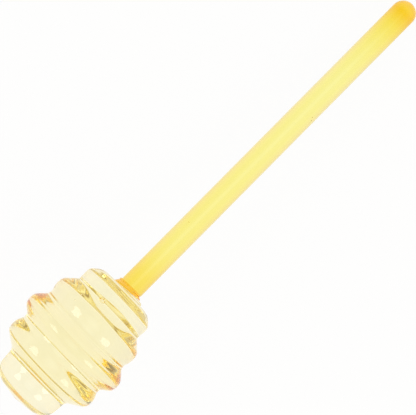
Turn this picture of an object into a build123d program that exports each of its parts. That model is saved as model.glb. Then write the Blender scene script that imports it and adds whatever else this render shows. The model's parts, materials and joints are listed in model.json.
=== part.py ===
from build123d import *
import os
from math import acos, atan2, cos, hypot, radians, sin, tan

# A hand-made glass honey dipper, lying on a table: it touches the table with its widest rib and with the
# round end of its handle, so its axis rises towards the head. +Z is up, z = 0 is the table, the handle
# points to +X, and the origin is on the table under the middle of the whole length.
# All lengths are in millimetres and all angles in degrees, unless a comment says otherwise.

# Handle: a drawn glass rod with its free end melted round
rod_diameter = 7.0
rod_length = 107.6

# Weld collar: the amber bead at the foot of the rod, where the hot rod was pressed on
collar_height = 1.3
collar_top_radius = 3.8
collar_radius = 4.6
collar_round = 0.45

# Neck button: the thin clear pad of glass that the weld sits on
button_height = 0.65
button_radius = 5.6
button_round = 0.4

# The weld sits a little beside the rod's axis and the head leans by about a degree, as when set by eye
weld_shift = 0.32
head_lean = 1.17

# Grooves between the gathers of the head: a short straight land each side of the seam, then a round
land_length = 0.7
groove_round = 1.2
sharp_land_length = 0.2
sharp_groove_round = 0.3

# Shoulder rib: a drum with a flat top and a rounded shoulder
shoulder_height = 6.1
shoulder_top_radius = 8.75
shoulder_radius = 11.15
shoulder_top_round = 1.5
shoulder_round = 2.3
shoulder_seam_radius = 11.07

# Upper rib: a cone that ends in a rounded ring
upper_rib_height = 8.0
upper_rib_radius = 14.37
upper_rib_round = 2.25
upper_seam_radius = 13.88

# Widest rib: the ring that the dipper lies on
widest_rib_height = 9.2
widest_rib_radius = 16.57
widest_rib_round = 2.35
widest_seam_radius = 13.92

# Lower rib: a ring that falls away in a long cone towards the tip
lower_rib_height = 9.15
lower_rib_radius = 14.84
lower_rib_round = 2.85
lower_seam_radius = 10.11

# Tip knob: a short drum with a bevelled, rounded end and a slightly domed face
knob_height = 8.0
knob_start_radius = 9.91
knob_radius = 9.63
knob_face_radius = 5.44
knob_dome_height = 0.5
knob_round = 3.8

# Air bubble trapped on the first seam, above the axis and a little towards +Y
bubble_diameter = 1.6
bubble_rise = 9.2
bubble_side = 2.4

# How far along its gather each outline corner lies, as shares of the gather's height
shoulder_bevel_share = 0.29
shoulder_drum_share = 0.64
upper_flank_share = 0.418
upper_crest_share = 0.767
widest_flank_share = 0.338
widest_crest_share = 0.678
lower_flank_share = 0.209
lower_crest_share = 0.565
knob_side_share = 0.56

# A round never takes up more than this share of the shorter run beside its corner
round_run_share = 0.48

# A piece that is cut to length is made this much too long first
cut_overrun = 0.5

# Sizes that follow
rod_radius = rod_diameter / 2
rod_straight = rod_length - rod_radius
bubble_radius = bubble_diameter / 2
shoulder_start = button_height
upper_start = shoulder_start + shoulder_height
widest_start = upper_start + upper_rib_height
lower_start = widest_start + widest_rib_height
knob_start = lower_start + lower_rib_height
head_length = knob_start + knob_height


def turn_angle(before, corner, after):
    """The angle in radians by which an outline turns at a corner."""
    first = atan2(corner[1] - before[1], corner[0] - before[0])
    second = atan2(after[1] - corner[1], after[0] - corner[0])
    return abs(second - first)


def fitting_rounds(points, rounds):
    """The wanted radius at each inner corner, or the largest one that the runs beside it have room for."""
    radii = []
    for before, corner, after, wanted in zip(points, points[1:], points[2:], rounds):
        shorter_run = min(hypot(corner[0] - before[0], corner[1] - before[1]),
                          hypot(after[0] - corner[0], after[1] - corner[1]))
        turn = turn_angle(before, corner, after)
        room = round_run_share * shorter_run / tan(turn / 2)
        radii.append(min(wanted, room))
    return radii


def shifted(start, outline):
    """An outline's points, moved along the axis to where its gather starts."""
    return [(start + along, radius) for along, radius in outline]


def half_section(points, rounds):
    """The rounded outer outline, closed straight back along the axis."""
    FilletPolyline(points, radius=fitting_rounds(points, rounds))
    way_back = [points[-1], (points[-1][0], 0), (points[0][0], 0)]
    if points[0][1] > 0:
        way_back.append(points[0])
    Polyline(way_back)


# Outer outlines, each point as distance along the axis and radius: the collar's from its own top face,
# the others from the head's end of the collar
collar_points = [(0, collar_top_radius),
                 (collar_height / 2, collar_radius),
                 (collar_height + cut_overrun, collar_radius)]
button_points = [(0, 0), (0, button_radius), (button_height, button_radius)]
shoulder_points = shifted(shoulder_start, [
    (0, 0),
    (0, shoulder_top_radius),
    (shoulder_bevel_share * shoulder_height, shoulder_radius),
    (shoulder_drum_share * shoulder_height, shoulder_radius),
    (shoulder_height - land_length, shoulder_seam_radius),
    (shoulder_height, shoulder_seam_radius)])
upper_points = shifted(upper_start, [
    (0, shoulder_seam_radius),
    (sharp_land_length, shoulder_seam_radius),
    (upper_flank_share * upper_rib_height, upper_rib_radius),
    (upper_crest_share * upper_rib_height, upper_rib_radius),
    (upper_rib_height - land_length, upper_seam_radius),
    (upper_rib_height, upper_seam_radius)])
widest_points = shifted(widest_start, [
    (0, upper_seam_radius),
    (land_length, upper_seam_radius),
    (widest_flank_share * widest_rib_height, widest_rib_radius),
    (widest_crest_share * widest_rib_height, widest_rib_radius),
    (widest_rib_height - land_length, widest_seam_radius),
    (widest_rib_height, widest_seam_radius)])
lower_points = shifted(lower_start, [
    (0, widest_seam_radius),
    (land_length, widest_seam_radius),
    (lower_flank_share * lower_rib_height, lower_rib_radius),
    (lower_crest_share * lower_rib_height, lower_rib_radius),
    (lower_rib_height - land_length, lower_seam_radius),
    (lower_rib_height, lower_seam_radius)])
knob_points = shifted(knob_start, [
    (0, lower_seam_radius),
    (land_length, knob_start_radius),
    (knob_side_share * knob_height, knob_radius),
    (knob_height - knob_dome_height, knob_face_radius)])


def lying_tilt(points, crest_index, wanted_round):
    """The angle in radians at which the rod's ball end and this crest both touch the table."""
    corner = points[crest_index]
    before = points[crest_index - 1]
    after = points[crest_index + 1]
    crest_round = fitting_rounds([before, corner, after], [wanted_round])[0]
    centre_radius = corner[1] - crest_round
    centre_along = corner[0] + crest_round * tan(turn_angle(before, corner, after) / 2)
    reach = rod_straight + collar_height + centre_along
    return acos((rod_radius - crest_round) / hypot(centre_radius, reach)) - atan2(reach, centre_radius)


# The dipper lies on whichever crest lifts its head most
tilt = max(lying_tilt(shoulder_points, 2, shoulder_round),
           lying_tilt(upper_points, 2, upper_rib_round),
           lying_tilt(widest_points, 2, widest_rib_round),
           lying_tilt(lower_points, 2, lower_rib_round))

# The rod's plane starts at the centre of its ball end: local x runs to the head, local y up across the rod
lean = radians(head_lean)
ball_to_tip = rod_straight + collar_height + head_length
ball_x = (ball_to_tip * cos(tilt) - rod_radius) / 2
widest_middle = widest_start + widest_rib_height / 2
rod_y = -(weld_shift + widest_middle * sin(lean))
rod_plane = Plane(origin=(ball_x, rod_y, rod_radius), x_dir=(-cos(tilt), 0, sin(tilt)), z_dir=(0, 1, 0))
rod_axis = Axis(rod_plane.origin, rod_plane.x_dir)

# The collar's plane starts at the foot of the rod, and the head's where the collar ends. In both, local x
# runs to the tip, local y up and local z towards +Y
collar_plane = rod_plane.moved(Location((rod_straight, 0, weld_shift)))
collar_axis = Axis(collar_plane.origin, collar_plane.x_dir)
head_plane = collar_plane.moved(Location((collar_height, 0, 0), (0, -head_lean, 0)))
head_axis = Axis(head_plane.origin, head_plane.x_dir)
weld_plane = Plane(origin=head_plane.origin, x_dir=head_plane.z_dir, z_dir=head_plane.x_dir)
bubble_centre = head_plane.from_local_coords((upper_start, bubble_rise, bubble_side))

os.makedirs("parts", exist_ok=True)

# Handle rod, turned about its axis
with BuildPart() as handle_rod:
    with BuildSketch(rod_plane):
        with BuildLine():
            CenterArc((0, 0), rod_radius, 90, 90)
            Polyline((0, rod_radius), (rod_straight, rod_radius), (rod_straight, 0), (-rod_radius, 0))
        make_face()
    revolve(axis=rod_axis)
handle_rod.part.label = "handle_rod"
export_step(handle_rod.part, "parts/handle_rod.step")

# Weld collar, cut off where the leaning head meets it
with BuildPart() as weld_collar:
    with BuildSketch(collar_plane):
        with BuildLine():
            half_section(collar_points, [collar_round])
        make_face()
    revolve(axis=collar_axis)
    split(bisect_by=weld_plane, keep=Keep.BOTTOM)
weld_collar.part.label = "weld_collar"
export_step(weld_collar.part, "parts/weld_collar.step")

# Neck button
with BuildPart() as neck_button:
    with BuildSketch(head_plane):
        with BuildLine():
            half_section(button_points, [button_round])
        make_face()
    revolve(axis=head_axis)
neck_button.part.label = "neck_button"
export_step(neck_button.part, "parts/neck_button.step")

# Shoulder rib, with its half of the bubble's hollow
with BuildPart() as shoulder_rib:
    with BuildSketch(head_plane):
        with BuildLine():
            half_section(shoulder_points, [shoulder_top_round, shoulder_round, sharp_groove_round,
                                           sharp_groove_round])
        make_face()
    revolve(axis=head_axis)
    with Locations(bubble_centre):
        Sphere(bubble_radius, mode=Mode.SUBTRACT)
shoulder_rib.part.label = "shoulder_rib"
export_step(shoulder_rib.part, "parts/shoulder_rib.step")

# Upper rib, with the other half of the bubble's hollow
with BuildPart() as upper_rib:
    with BuildSketch(head_plane):
        with BuildLine():
            half_section(upper_points, [sharp_groove_round, upper_rib_round, upper_rib_round, groove_round])
        make_face()
    revolve(axis=head_axis)
    with Locations(bubble_centre):
        Sphere(bubble_radius, mode=Mode.SUBTRACT)
upper_rib.part.label = "upper_rib"
export_step(upper_rib.part, "parts/upper_rib.step")

# Widest rib
with BuildPart() as widest_rib:
    with BuildSketch(head_plane):
        with BuildLine():
            half_section(widest_points, [groove_round, widest_rib_round, widest_rib_round, groove_round])
        make_face()
    revolve(axis=head_axis)
widest_rib.part.label = "widest_rib"
export_step(widest_rib.part, "parts/widest_rib.step")

# Lower rib
with BuildPart() as lower_rib:
    with BuildSketch(head_plane):
        with BuildLine():
            half_section(lower_points, [groove_round, lower_rib_round, lower_rib_round, groove_round])
        make_face()
    revolve(axis=head_axis)
lower_rib.part.label = "lower_rib"
export_step(lower_rib.part, "parts/lower_rib.step")

# Tip knob, with its domed face
knob_rounds = fitting_rounds(knob_points + [(head_length, 0)], [sharp_groove_round, knob_round, knob_round])
with BuildPart() as tip_knob:
    with BuildSketch(head_plane):
        with BuildLine():
            FilletPolyline(knob_points, radius=knob_rounds[:2])
            TangentArc((head_length, 0), knob_points[-1], tangent=(0, 1))
            Polyline((head_length, 0), (knob_start, 0), knob_points[0])
        make_face()
        face_rim = vertices().sort_by_distance(knob_points[-1])[0]
        fillet(face_rim, radius=knob_rounds[2])
    revolve(axis=head_axis)
tip_knob.part.label = "tip_knob"
export_step(tip_knob.part, "parts/tip_knob.step")
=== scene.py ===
import json
import math
import bpy
import bmesh
from mathutils import Matrix, Vector


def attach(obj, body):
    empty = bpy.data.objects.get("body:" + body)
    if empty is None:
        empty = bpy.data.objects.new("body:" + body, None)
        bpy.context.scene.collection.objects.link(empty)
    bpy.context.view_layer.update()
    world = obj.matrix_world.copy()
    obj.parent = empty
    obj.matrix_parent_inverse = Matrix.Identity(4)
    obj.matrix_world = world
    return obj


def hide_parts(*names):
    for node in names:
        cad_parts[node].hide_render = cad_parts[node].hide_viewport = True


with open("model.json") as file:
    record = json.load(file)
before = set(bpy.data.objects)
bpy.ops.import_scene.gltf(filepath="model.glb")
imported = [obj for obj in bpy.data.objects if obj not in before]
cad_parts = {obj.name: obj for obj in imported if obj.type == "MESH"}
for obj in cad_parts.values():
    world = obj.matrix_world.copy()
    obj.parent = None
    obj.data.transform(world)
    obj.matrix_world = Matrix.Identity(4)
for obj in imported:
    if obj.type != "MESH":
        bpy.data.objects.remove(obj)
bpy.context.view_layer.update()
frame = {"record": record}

# A hand-worked glass honey dipper on a pale table, seen from straight above.
# Blender works in metres, and mm turns a size in millimetres into metres.
mm = 0.001

# The handle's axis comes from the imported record: its mount is the straight stretch of the rod
grip = next(mount for mount in frame["record"]["mounts"] if mount["name"] == "handle_grip")
rod_radius = grip["dims"]["r_mm"] * mm
rod_straight = grip["dims"]["length_mm"] * mm
to_free_end = Vector(grip["axis"]).normalized()
rod_foot = Vector(grip["pos_m"]) - to_free_end * (rod_straight / 2)

# Collar and weld: the CAD's amber ring, with the flare that the hot glass took
collar_height = 1.3 * mm
collar_top_radius = 3.6 * mm
collar_radius = 4.3 * mm
collar_round = 0.45 * mm
collar_neck_share = 0.3
collar_foot_share = 0.75
weld_shift = 0.32 * mm
head_lean = math.radians(1.17)

# Button, gathers and knob
button_height = 0.65 * mm
button_radius = 5.6 * mm
button_round = 0.4 * mm
button_foot_round = 0.1 * mm
shoulder_height = 6.1 * mm
shoulder_top_radius = 8.64 * mm
shoulder_radius = 11.15 * mm
shoulder_seam_radius = 11.07 * mm
shoulder_top_round = 2.17 * mm
shoulder_round = 1.15 * mm
upper_height = 8.0 * mm
upper_radius = 14.37 * mm
upper_seam_radius = 13.88 * mm
upper_round = 3.18 * mm
widest_height = 9.2 * mm
widest_radius = 16.57 * mm
widest_seam_radius = 13.92 * mm
widest_round = 2.6 * mm
lower_height = 9.15 * mm
lower_radius = 14.84 * mm
lower_seam_radius = 10.11 * mm
lower_round = 4.15 * mm
knob_height = 8.0 * mm
knob_start_radius = 9.91 * mm
knob_radius = 9.63 * mm
knob_face_radius = 6.25 * mm
knob_dome_height = 0.72 * mm
knob_round = 5.76 * mm
# Grooves: how far their flat foot reaches each side of the seam, and the rounds beside it
land_length = 0.7 * mm
sharp_land_length = 0.2 * mm
groove_round = 0.34 * mm
sharp_groove_round = 0.42 * mm
# Where each gather's bevel, drum, flank, crest or side ends, as a share of its height
shoulder_bevel_share = 0.394
shoulder_drum_share = 0.64
upper_flank_share = 0.401
upper_crest_share = 0.726
widest_flank_share = 0.375
widest_crest_share = 0.714
lower_flank_share = 0.267
lower_crest_share = 0.59
knob_side_share = 0.634
# A bend takes up at most this share of the shorter run beside it
round_run_share = 0.48

# The bubble trapped at the first seam, a little beyond it, and seeds: tiny bubbles elsewhere in the glass.
# Each seed's place is its distance along the axis towards the tip, its rise and its distance to the side.
bubble_radius = 1.0 * mm
bubble_rise = 9.2 * mm
bubble_side = 2.4 * mm
bubble_lag = 0.6 * mm
seed_radius = 0.12 * mm
rod_seeds = [(-65.6 * mm, 1.4 * mm, -2.4 * mm),
             (-66.3 * mm, 1.7 * mm, -2.1 * mm),
             (-23 * mm, 1.9 * mm, 1.2 * mm)]
head_seeds = [(29.2 * mm, 6.0 * mm, -5.5 * mm),
              (30.4 * mm, 4.0 * mm, -8.6 * mm),
              (12.0 * mm, 3.0 * mm, 6.0 * mm)]

# What hand work adds to the turned shapes: the outline's bends are eased over these lengths, as by fire
# polishing, and the easing reaches so many of them each way
shoulder_softness = 0.73 * mm
rib_softness = 0.52 * mm
seam_softness = 0.3 * mm
groove_softness = 0.62 * mm
knob_softness = 0.83 * mm
softening_reach = 3
# The grooves aren't pressed in evenly: these shares of their depth are missing above and below, and a share
# below zero is pressed in further. The directions are turned by so many degrees from straight up and straight
# down, and a higher power keeps the filling closer to them.
fill_shares_above = [0.38, 0.18, 0.45, -0.09]
fill_shares_below = [0.15, 0.6, 0.5, 0.0]
turns_above = [-14, -23, 14, -20]
turns_below = [16, -6, -21, -28]
fill_power = 2.9
# The shoulder's top, the four seams and the tip's face lean towards the tip above, slant towards it on the
# head's +Y side, and bow towards it both above and below, by these slopes
seam_leans = [-0.003, 0.075, 0.058, 0.064, 0.111, 0.012]
seam_slants = [0.002, -0.011, -0.006, -0.008, 0.004, -0.003]
seam_bows = [0.02, -0.028, 0.026, 0.003, -0.008, 0.01]
# The collar sinks this far into the button, and by this slope further on the +Y side
collar_sink = 0.2 * mm
collar_slope = 0.1
# The welded faces stay this far apart, so that light leaves one glass before it enters the next
weld_gap = 0.02 * mm

# Fineness of the meshes
line_step = 0.1 * mm
round_steps = 9
head_rings = 220
head_segments = 160
rod_rings = 100
rod_end_rings = 24
rod_segments = 96
hollow_subdivisions = 3

# Glass: the surface tints what passes by how squarely it is seen, from 0 face on to 1 at the rim.
# The rod is palest along its middle, where its tint is a painted highlight line, and at its rims.
glass_ior = 1.476
facing_blend = 0.5
streak_detail = 2
streak_colour = (1.0, 0.96, 0.86)
head_streak_scale = 60
rod_streak_scale = 45
collar_streak_scale = 90
head_streak_share = 0.3
rod_streak_share = 0.3
collar_streak_share = 0.4
clear = (1.0, 1.0, 1.0)
head_tints = [(0, clear), (1, (1.0, 0.92, 0.82))]
# The first stop, face on, paints a highlight line along the rod's middle
rod_tints_and_highlight = [(0, (1.0, 0.99, 0.58)), (0.04, (1.0, 0.97, 0.48)),
             (0.16, (1.0, 0.95, 0.48)), (0.36, (1.0, 0.88, 0.51)),
             (0.54, (1.0, 0.82, 0.56)), (0.68, (1.0, 0.92, 0.82)),
             (0.8, clear), (1, clear)]
collar_tints = [(0, (1.0, 0.66, 0.06)), (1, (0.95, 0.55, 0.05))]
# Along the rod its surface is tinted further. Near the foot the amber is partly a painted reflection of the
# amber
# collar: it fades over a short stretch and, for a share of it, over most of the rod. The deeper amber at the
# round end is painted shade for the longer path that light takes through it; it is deepest where the end
# begins to round, and fades on both sides of that place.
# Amber near the foot, partly a painted reflection of the amber collar
foot_tint_and_collar_reflection = (1.0, 0.82, 0.3)
collar_reflection_fade = 8.5 * mm
long_share = 0.33
long_fade = 80 * mm
# Painted shade: the round end's deeper amber stands in for the longer path that light takes through it
end_painted_amber = (1.0, 0.68, 0.05)
end_place = 103.5 * mm
end_fade = 4.8 * mm
end_power = 0.8
rod_tint_step = 4.5 * mm
rod_tint_steps = 24
# A volume absorbs its density times one minus its colour for each metre
head_absorption = (0.983, 0.866, 0.0)
head_density = 18.0
rod_absorption = (1.0, 0.94, 0.0)
rod_density = 50
collar_absorption = (0.98, 0.80, 0.0)
collar_density = 60

# Table: white to the eye and through glass, while it keeps a share of the dipper's shadow
table_half = 1.5
table_colour = (0.95, 0.95, 0.95)
table_glow_share = 0.945

# World: a white tent. Its colour follows the height of the direction, warmer where it is duller, with a slope
# across it and one duller patch.
sky_levels = [(0.0, (0.86, 0.8, 0.69)), (0.35, (1.08, 1.08, 1.08)),
              (0.6, (0.81, 0.75, 0.61)), (0.8, (0.79, 0.72, 0.58)),
              (0.92, (0.46, 0.33, 0.15)), (1.0, (1.15, 1.15, 1.15))]
sky_slope = (-0.05, -0.1, 0.0)
patch_direction = (0.31, 0.59, 0.75)
patch_dullness = 0.6
patch_sharpness = 9

# Two softboxes, one each side of the head, in directions given by their x and y
lamp_distance = 0.6
lamp_size = 0.25
lamp_radiance = 3.0
lamp_directions = [(-0.19, 0.68), (-0.19, -0.73)]

# Camera
camera_place = (-2.99 * mm, -0.20 * mm, 760 * mm)
camera_roll = math.radians(-45.26)
camera_lens = 243.2
camera_sensor = 36
camera_reach = 20

# Light is followed through the glass until little of it is left
light_bounces = 120

# Places along the head's axis, from the middle of the button's top
shoulder_start = button_height
upper_start = shoulder_start + shoulder_height
widest_start = upper_start + upper_height
lower_start = widest_start + widest_height
knob_start = lower_start + lower_height
head_length = knob_start + knob_height
shoulder_bevel_end = shoulder_start + shoulder_bevel_share * shoulder_height
shoulder_drum_end = shoulder_start + shoulder_drum_share * shoulder_height
upper_flank_end = upper_start + upper_flank_share * upper_height
upper_crest_end = upper_start + upper_crest_share * upper_height
widest_flank_end = widest_start + widest_flank_share * widest_height
widest_crest_end = widest_start + widest_crest_share * widest_height
lower_flank_end = lower_start + lower_flank_share * lower_height
lower_crest_end = lower_start + lower_crest_share * lower_height
knob_side_end = knob_start + knob_side_share * knob_height

# Axes: along runs from the handle to the tip, up rises from the table, side runs to +Y
along_rod = -to_free_end
side = Vector((0, 1, 0))
up = side.cross(along_rod)
collar_origin = rod_foot + side * weld_shift
head_origin = collar_origin + along_rod * collar_height
along_head = (along_rod * math.cos(head_lean) + side * math.sin(head_lean)).normalized()
head_side = along_head.cross(up)
head_rise = along_head.z / math.hypot(along_head.x, along_head.y)


def between(places, along):
    """The value at a place, from (place, value) pairs in order, with straight runs between them."""
    for (start, low), (end, high) in zip(places, places[1:]):
        if along <= end:
            return low + (high - low) * (along - start) / (end - start)
    return places[-1][1]


def rounded(corners):
    """A line through (along, radius, round) corners, with a bend of about that round at each inner one."""
    points = [Vector(corners[0][:2])]
    for before, corner, after in zip(corners, corners[1:], corners[2:]):
        here = Vector(corner[:2])
        if not corner[2]:
            points.append(here)
            continue
        back = Vector(before[:2]) - here
        ahead = Vector(after[:2]) - here
        turn = math.pi - back.angle(ahead)
        longest = round_run_share * min(back.length, ahead.length)
        reach = min(corner[2] * math.tan(turn / 2), longest)
        start = here + back.normalized() * reach
        end = here + ahead.normalized() * reach
        for step in range(round_steps + 1):
            share = step / round_steps
            points.append(start.lerp(here, share).lerp(here.lerp(end, share), share))
    points.append(Vector(corners[-1][:2]))
    return points


def refined(points):
    """The same line, with no step longer than the line step."""
    fine = [points[0]]
    for start, end in zip(points, points[1:]):
        count = max(1, math.ceil((end - start).length / line_step))
        for step in range(1, count + 1):
            fine.append(start.lerp(end, step / count))
    return fine


def softened(points, spreads):
    """The same line with its bends eased by a bell-weighted running mean, whose spread changes by place."""
    eased = []
    for index in range(len(points)):
        spread = between(spreads, points[index][0])
        room = min(round(softening_reach * spread / line_step), index, len(points) - 1 - index)
        total = Vector((0, 0))
        weight_sum = 0
        for offset in range(-room, room + 1):
            weight = math.exp(-0.5 * (offset * line_step / spread) ** 2)
            total += points[index + offset] * weight
            weight_sum += weight
        eased.append(total / weight_sum)
    return eased


def evenly(points, count):
    """So many points at equal steps along a line."""
    lengths = [0]
    for start, end in zip(points, points[1:]):
        lengths.append(lengths[-1] + (end - start).length)
    even = []
    index = 0
    for number in range(count):
        place = lengths[-1] * number / (count - 1)
        while index < len(points) - 2 and lengths[index + 1] < place:
            index += 1
        run = lengths[index + 1] - lengths[index]
        share = (place - lengths[index]) / run if run else 0
        even.append(points[index].lerp(points[index + 1], share))
    return even


def turned(origin, along, across, third, outline, segments, worked=None, sharp_rings=()):
    """A closed body turned about an axis, from a line that starts and ends on the axis.

    worked moves each point by hand, and the rings numbered in sharp_rings keep a sharp edge.
    """
    shape = bmesh.new()
    rings = []
    for number, point in enumerate(outline):
        if number in (0, len(outline) - 1):
            place = worked(point[0], 0, 0)[0] if worked else point[0]
            rings.append([shape.verts.new(origin + along * place)])
            continue
        ring = []
        for index in range(segments):
            angle = 2 * math.pi * index / segments
            direction = across * math.cos(angle) + third * math.sin(angle)
            place, radius = worked(point[0], angle, point[1]) if worked else point
            ring.append(shape.verts.new(origin + along * place + direction * radius))
        rings.append(ring)
    for one, two in zip(rings, rings[1:]):
        for index in range(segments):
            following = (index + 1) % segments
            if len(one) == 1:
                shape.faces.new((one[0], two[index], two[following]))
            elif len(two) == 1:
                shape.faces.new((one[index], two[0], one[following]))
            else:
                shape.faces.new((one[index], two[index], two[following], one[following]))
    for number in sharp_rings:
        ring = rings[number]
        for one, two in zip(ring, ring[1:] + ring[:1]):
            shape.edges.get((one, two)).smooth = False
    bmesh.ops.recalc_face_normals(shape, faces=shape.faces)
    return shape


def add_hollow(shape, centre, radius):
    """A bubble inside a glass body: a small ball whose faces look inwards."""
    ball = bmesh.ops.create_icosphere(shape, subdivisions=hollow_subdivisions, radius=radius,
                                      matrix=Matrix.Translation(centre))
    faces = {face for vert in ball["verts"] for face in vert.link_faces}
    bmesh.ops.reverse_faces(shape, faces=list(faces))


def finished(shape, name, material, nodes):
    """Makes the shape a piece that rides on the body and stands for its CAD nodes."""
    mesh = bpy.data.meshes.new(name)
    shape.to_mesh(mesh)
    shape.free()
    for polygon in mesh.polygons:
        polygon.use_smooth = True
    mesh.materials.append(material)
    piece = bpy.data.objects.new(name, mesh)
    bpy.context.scene.collection.objects.link(piece)
    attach(piece, "root")
    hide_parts(*nodes)


def emptied(owner):
    """The node tree of a material or world, emptied."""
    owner.use_nodes = True
    owner.node_tree.nodes.clear()
    return owner.node_tree


def calculated(tree, operation, *values):
    """A Math node's output, fed by sockets or numbers."""
    node = tree.nodes.new("ShaderNodeMath")
    node.operation = operation
    for socket, value in zip(node.inputs, values):
        if isinstance(value, (int, float)):
            socket.default_value = value
        else:
            tree.links.new(value, socket)
    return node.outputs[0]


def multiplied(tree, first, second, factor):
    """The first colour, tinted by the second to the degree of the factor."""
    mix = tree.nodes.new("ShaderNodeMix")
    mix.data_type = "RGBA"
    mix.blend_type = "MULTIPLY"
    colours = {socket.name: socket for socket in mix.inputs if socket.type == "RGBA"}
    tree.links.new(first, colours["A"])
    if isinstance(second, tuple):
        colours["B"].default_value = (*second, 1)
    else:
        tree.links.new(second, colours["B"])
    if isinstance(factor, (int, float)):
        mix.inputs["Factor"].default_value = factor
    else:
        tree.links.new(factor, mix.inputs["Factor"])
    return next(socket for socket in mix.outputs if socket.type == "RGBA")


def ramped(tree, value, stops):
    """A colour that follows a value, from (value, colour) stops in order. A new ramp has two elements."""
    first, last = stops[0][0], stops[-1][0]
    span = tree.nodes.new("ShaderNodeMapRange")
    span.inputs["From Min"].default_value = first
    span.inputs["From Max"].default_value = last
    tree.links.new(value, span.inputs["Value"])
    ramp = tree.nodes.new("ShaderNodeValToRGB")
    elements = ramp.color_ramp.elements
    for number, (place, tint) in enumerate(stops):
        element = elements[number] if number < 2 else elements.new(1)
        element.position = (place - first) / (last - first)
        element.color = (*tint, 1)
    tree.links.new(span.outputs["Result"], ramp.inputs[0])
    return ramp.outputs[0]


def glass(name, tints, absorption, density, streak_scale, streak_share, ends=None):
    """Clear tinted glass with faint streaks. ends gives (x, colour) stops that tint it further along X."""
    material = bpy.data.materials.new(name)
    tree = emptied(material)
    output = tree.nodes.new("ShaderNodeOutputMaterial")
    shader = tree.nodes.new("ShaderNodeBsdfPrincipled")
    shader.inputs["Transmission Weight"].default_value = 1
    shader.inputs["Roughness"].default_value = 0
    shader.inputs["IOR"].default_value = glass_ior
    tree.links.new(shader.outputs[0], output.inputs["Surface"])
    volume = tree.nodes.new("ShaderNodeVolumeAbsorption")
    volume.inputs["Color"].default_value = (*absorption, 1)
    volume.inputs["Density"].default_value = density
    tree.links.new(volume.outputs[0], output.inputs["Volume"])
    facing = tree.nodes.new("ShaderNodeLayerWeight")
    facing.inputs["Blend"].default_value = facing_blend
    colour = ramped(tree, facing.outputs["Facing"], tints)
    coordinates = tree.nodes.new("ShaderNodeTexCoord")
    streaks = tree.nodes.new("ShaderNodeTexNoise")
    streaks.inputs["Scale"].default_value = streak_scale
    streaks.inputs["Detail"].default_value = streak_detail
    tree.links.new(coordinates.outputs["Object"], streaks.inputs["Vector"])
    strength = calculated(tree, "MULTIPLY", streaks.outputs["Fac"], streak_share)
    colour = multiplied(tree, colour, streak_colour, strength)
    if ends:
        split = tree.nodes.new("ShaderNodeSeparateXYZ")
        tree.links.new(coordinates.outputs["Object"], split.inputs[0])
        colour = multiplied(tree, colour, ramped(tree, split.outputs["X"], ends), 1)
    tree.links.new(colour, shader.inputs["Base Color"])
    return material


def rod_tint(distance):
    """The further tint of the rod's surface at a distance from its foot: partly a painted reflection of the
    amber collar near the foot, and painted shade at the round end.
    """
    short = math.exp(-(distance / collar_reflection_fade) ** 2)
    long = max(0, 1 - distance / long_fade)
    near = short + long_share * (long - short)
    far = math.exp(-(abs(distance - end_place) / end_fade) ** end_power)
    return tuple(foot_and_reflection ** near * end ** far for foot_and_reflection, end in zip(foot_tint_and_collar_reflection, end_painted_amber))


rod_distances = [step * rod_tint_step for step in range(rod_tint_steps + 1)]
rod_ends = [(rod_foot.x + distance, rod_tint(distance)) for distance in rod_distances]
honey_glass = glass("honey_glass", head_tints, head_absorption, head_density,
                    head_streak_scale, head_streak_share)
yellow_glass = glass("yellow_glass", rod_tints_and_highlight, rod_absorption, rod_density,
                     rod_streak_scale, rod_streak_share, rod_ends)
amber_glass = glass("amber_glass", collar_tints, collar_absorption, collar_density,
                    collar_streak_scale, collar_streak_share)

# Handle: a straight rod with a round free end
rod_line = [Vector((-weld_gap, 0)), Vector((-weld_gap, rod_radius))]
for step in range(1, rod_rings + 1):
    rod_line.append(Vector((-rod_straight * step / rod_rings, rod_radius)))
for step in range(1, rod_end_rings + 1):
    angle = math.pi / 2 * step / rod_end_rings
    rod_line.append(Vector((-rod_straight - rod_radius * math.sin(angle), rod_radius * math.cos(angle))))
rod_shape = turned(rod_foot, along_rod, up, side, rod_line, rod_segments, sharp_rings=[1])
for along, rise, across in rod_seeds:
    add_hollow(rod_shape, rod_foot + along_rod * along + up * rise + side * across, seed_radius)
finished(rod_shape, "glass_handle", yellow_glass, ["handle_rod"])

# Collar: its lower face follows the head's leaning top
collar_line = rounded([(0, 0, 0), (0, collar_top_radius, 0),
                       (collar_neck_share * collar_height, collar_top_radius, collar_round),
                       (collar_foot_share * collar_height, collar_radius, collar_round),
                       (collar_height, collar_radius, 0), (collar_height, 0, 0)])


def seated(along, angle, radius):
    """Where a point of the turned collar lies once its foot has sunk into the button."""
    share = along / collar_height
    reach = collar_sink + radius * math.sin(angle) * (math.tan(head_lean) + collar_slope) - weld_gap
    return along + share * reach, radius


collar_shape = turned(collar_origin, along_rod, up, side, collar_line, rod_segments, seated,
                      sharp_rings=[1, len(collar_line) - 2])
finished(collar_shape, "amber_collar", amber_glass, ["weld_collar"])


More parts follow.
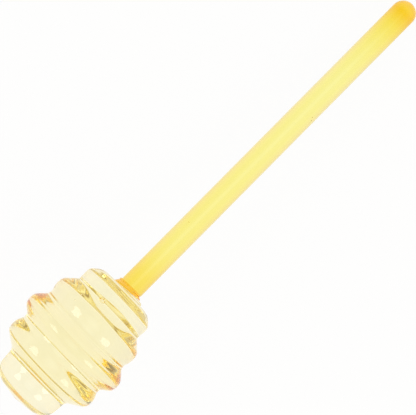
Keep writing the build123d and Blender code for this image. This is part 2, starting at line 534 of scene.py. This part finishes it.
def head_outline():
    """The head's outline, from the middle of the button's top to the tip."""
    corners = [
        (0, 0, 0),
        (0, button_radius, button_round),
        (shoulder_start, button_radius, button_foot_round),
        (shoulder_start, shoulder_top_radius, shoulder_top_round),
        (shoulder_bevel_end, shoulder_radius, shoulder_round),
        (shoulder_drum_end, shoulder_radius, sharp_groove_round),
        (upper_start - land_length, shoulder_seam_radius, sharp_groove_round),
        (upper_start + sharp_land_length, shoulder_seam_radius, sharp_groove_round),
        (upper_flank_end, upper_radius, upper_round),
        (upper_crest_end, upper_radius, upper_round),
        (widest_start - land_length, upper_seam_radius, groove_round),
        (widest_start + land_length, upper_seam_radius, groove_round),
        (widest_flank_end, widest_radius, widest_round),
        (widest_crest_end, widest_radius, widest_round),
        (lower_start - land_length, widest_seam_radius, groove_round),
        (lower_start + land_length, widest_seam_radius, groove_round),
        (lower_flank_end, lower_radius, lower_round),
        (lower_crest_end, lower_radius, lower_round),
        (knob_start - land_length, lower_seam_radius, groove_round),
        (knob_start + land_length, knob_start_radius, sharp_groove_round),
        (knob_side_end, knob_radius, knob_round),
        (head_length - knob_dome_height, knob_face_radius, knob_round),
        (head_length, 0, 0)]
    spreads = [
        (0, shoulder_softness),
        (shoulder_drum_end, shoulder_softness),
        (upper_start, seam_softness),
        (upper_flank_end, rib_softness),
        (upper_crest_end, rib_softness),
        (widest_start, groove_softness),
        (widest_flank_end, rib_softness),
        (widest_crest_end, rib_softness),
        (lower_start, groove_softness),
        (lower_flank_end, rib_softness),
        (lower_crest_end, rib_softness),
        (knob_start - land_length, knob_softness),
        (head_length, knob_softness)]
    return evenly(softened(refined(rounded(corners)), spreads), head_rings)


# The crests of the ribs, as (place, radius): a groove filled up would reach the line between them
crests = [(shoulder_drum_end, shoulder_radius),
          ((upper_flank_end + upper_crest_end) / 2, upper_radius),
          ((widest_flank_end + widest_crest_end) / 2, widest_radius),
          ((lower_flank_end + lower_crest_end) / 2, lower_radius),
          ((knob_start + knob_side_end) / 2, knob_radius)]
# The button's top and whatever leans, slants or bows, as (place, slope)
seams = [0, shoulder_start, upper_start, widest_start, lower_start, knob_start, head_length]
lean_places = list(zip(seams, [0, *seam_leans]))
slant_places = list(zip(seams, [0, *seam_slants]))
bow_places = list(zip(seams, [0, *seam_bows]))


def hand_worked(along, angle, radius):
    """Where a point of the turned head lies once the grooves are pressed and the seams lean and bow."""
    fill = 0
    for number, (start, end) in enumerate(zip(crests, crests[1:])):
        if start[0] < along < end[0]:
            depth = max(0, between([start, end], along) - radius)
            above = max(0, math.cos(angle - math.radians(turns_above[number]))) ** fill_power
            below = max(0, -math.cos(angle - math.radians(turns_below[number]))) ** fill_power
            fill = depth * (fill_shares_above[number] * above + fill_shares_below[number] * below)
    rise = math.cos(angle)
    lean = between(lean_places, along) + between(bow_places, along) * rise
    slant = between(slant_places, along)
    shift = radius * (rise * lean + math.sin(angle) * slant)
    # What moves along the tilted axis keeps its height above the table
    lowering = shift * head_rise * rise
    # The button's top follows the collar
    if along < button_height:
        shift += (1 - along / button_height) * (collar_sink + collar_slope * radius * math.sin(angle))
    return along + shift, radius + fill - lowering


head_shape = turned(head_origin, along_head, up, head_side, head_outline(), head_segments, hand_worked)
bubble_place = upper_start + bubble_lag
bubble_centre = head_origin + along_head * bubble_place + up * bubble_rise + head_side * bubble_side
add_hollow(head_shape, bubble_centre, bubble_radius)
for along, rise, across in head_seeds:
    add_hollow(head_shape, head_origin + along_head * along + up * rise + head_side * across, seed_radius)
finished(head_shape, "glass_head", honey_glass,
         ["neck_button", "shoulder_rib", "upper_rib", "widest_rib", "lower_rib", "tip_knob"])

# Table
table_mesh = bpy.data.meshes.new("table")
corners = [(-table_half, -table_half, 0), (table_half, -table_half, 0),
           (table_half, table_half, 0), (-table_half, table_half, 0)]
table_mesh.from_pydata(corners, [], [(0, 1, 2, 3)])
table = bpy.data.objects.new("table", table_mesh)
bpy.context.scene.collection.objects.link(table)
table_material = bpy.data.materials.new("table")
tree = emptied(table_material)
output = tree.nodes.new("ShaderNodeOutputMaterial")
diffuse = tree.nodes.new("ShaderNodeBsdfDiffuse")
diffuse.inputs["Color"].default_value = (*table_colour, 1)
glow = tree.nodes.new("ShaderNodeEmission")
glow.inputs["Strength"].default_value = 1
rays = tree.nodes.new("ShaderNodeLightPath").outputs
seen = calculated(tree, "MAXIMUM", rays["Is Camera Ray"], rays["Is Glossy Ray"])
seen = calculated(tree, "MAXIMUM", seen, rays["Is Transmission Ray"])
blend = tree.nodes.new("ShaderNodeMixShader")
tree.links.new(calculated(tree, "MULTIPLY", seen, table_glow_share), blend.inputs[0])
tree.links.new(diffuse.outputs[0], blend.inputs[1])
tree.links.new(glow.outputs[0], blend.inputs[2])
tree.links.new(blend.outputs[0], output.inputs["Surface"])
table_mesh.materials.append(table_material)

# World
world = bpy.data.worlds.new("studio")
bpy.context.scene.world = world
tree = emptied(world)
output = tree.nodes.new("ShaderNodeOutputWorld")
background = tree.nodes.new("ShaderNodeBackground")
tree.links.new(background.outputs[0], output.inputs["Surface"])
view = tree.nodes.new("ShaderNodeTexCoord").outputs["Generated"]
split = tree.nodes.new("ShaderNodeSeparateXYZ")
tree.links.new(view, split.inputs[0])
tree.links.new(ramped(tree, split.outputs["Z"], sky_levels), background.inputs["Color"])


def towards(direction):
    """How far a view direction points along this one, from -1 to 1."""
    node = tree.nodes.new("ShaderNodeVectorMath")
    node.operation = "DOT_PRODUCT"
    node.inputs[1].default_value = direction
    tree.links.new(view, node.inputs[0])
    return node.outputs["Value"]


slope = calculated(tree, "ADD", towards(sky_slope), 1)
patch = calculated(tree, "POWER", calculated(tree, "MAXIMUM", towards(patch_direction), 0), patch_sharpness)
dulled = calculated(tree, "MULTIPLY_ADD", patch, -patch_dullness, 1)
tree.links.new(calculated(tree, "MULTIPLY", slope, dulled), background.inputs["Strength"])

# Softboxes. A disk's power is its radiance times pi times its area, and a lamp shines along its own -Z.
head_middle = head_origin + along_head * (head_length / 2)
for number, (x, y) in enumerate(lamp_directions):
    direction = Vector((x, y, math.sqrt(1 - x * x - y * y)))
    lamp_data = bpy.data.lights.new("softbox", "AREA")
    lamp_data.shape = "DISK"
    lamp_data.size = lamp_size
    lamp_data.energy = lamp_radiance * math.pi * math.pi * (lamp_size / 2) ** 2
    lamp = bpy.data.objects.new("softbox_%d" % number, lamp_data)
    bpy.context.scene.collection.objects.link(lamp)
    lamp.location = head_middle + direction * lamp_distance
    lamp.rotation_euler = direction.to_track_quat("Z", "X").to_euler()

# Camera
camera_data = bpy.data.cameras.new("camera")
camera_data.lens = camera_lens
camera_data.sensor_width = camera_sensor
camera_data.clip_end = camera_reach
camera = bpy.data.objects.new("camera", camera_data)
bpy.context.scene.collection.objects.link(camera)
camera.location = camera_place
camera.rotation_euler = (0, 0, camera_roll)
bpy.context.scene.camera = camera
bpy.context.scene.view_settings.view_transform = "Standard"

bpy.context.scene.cycles.max_bounces = light_bounces
bpy.context.scene.cycles.transmission_bounces = light_bounces
bpy.context.scene.cycles.glossy_bounces = light_bounces
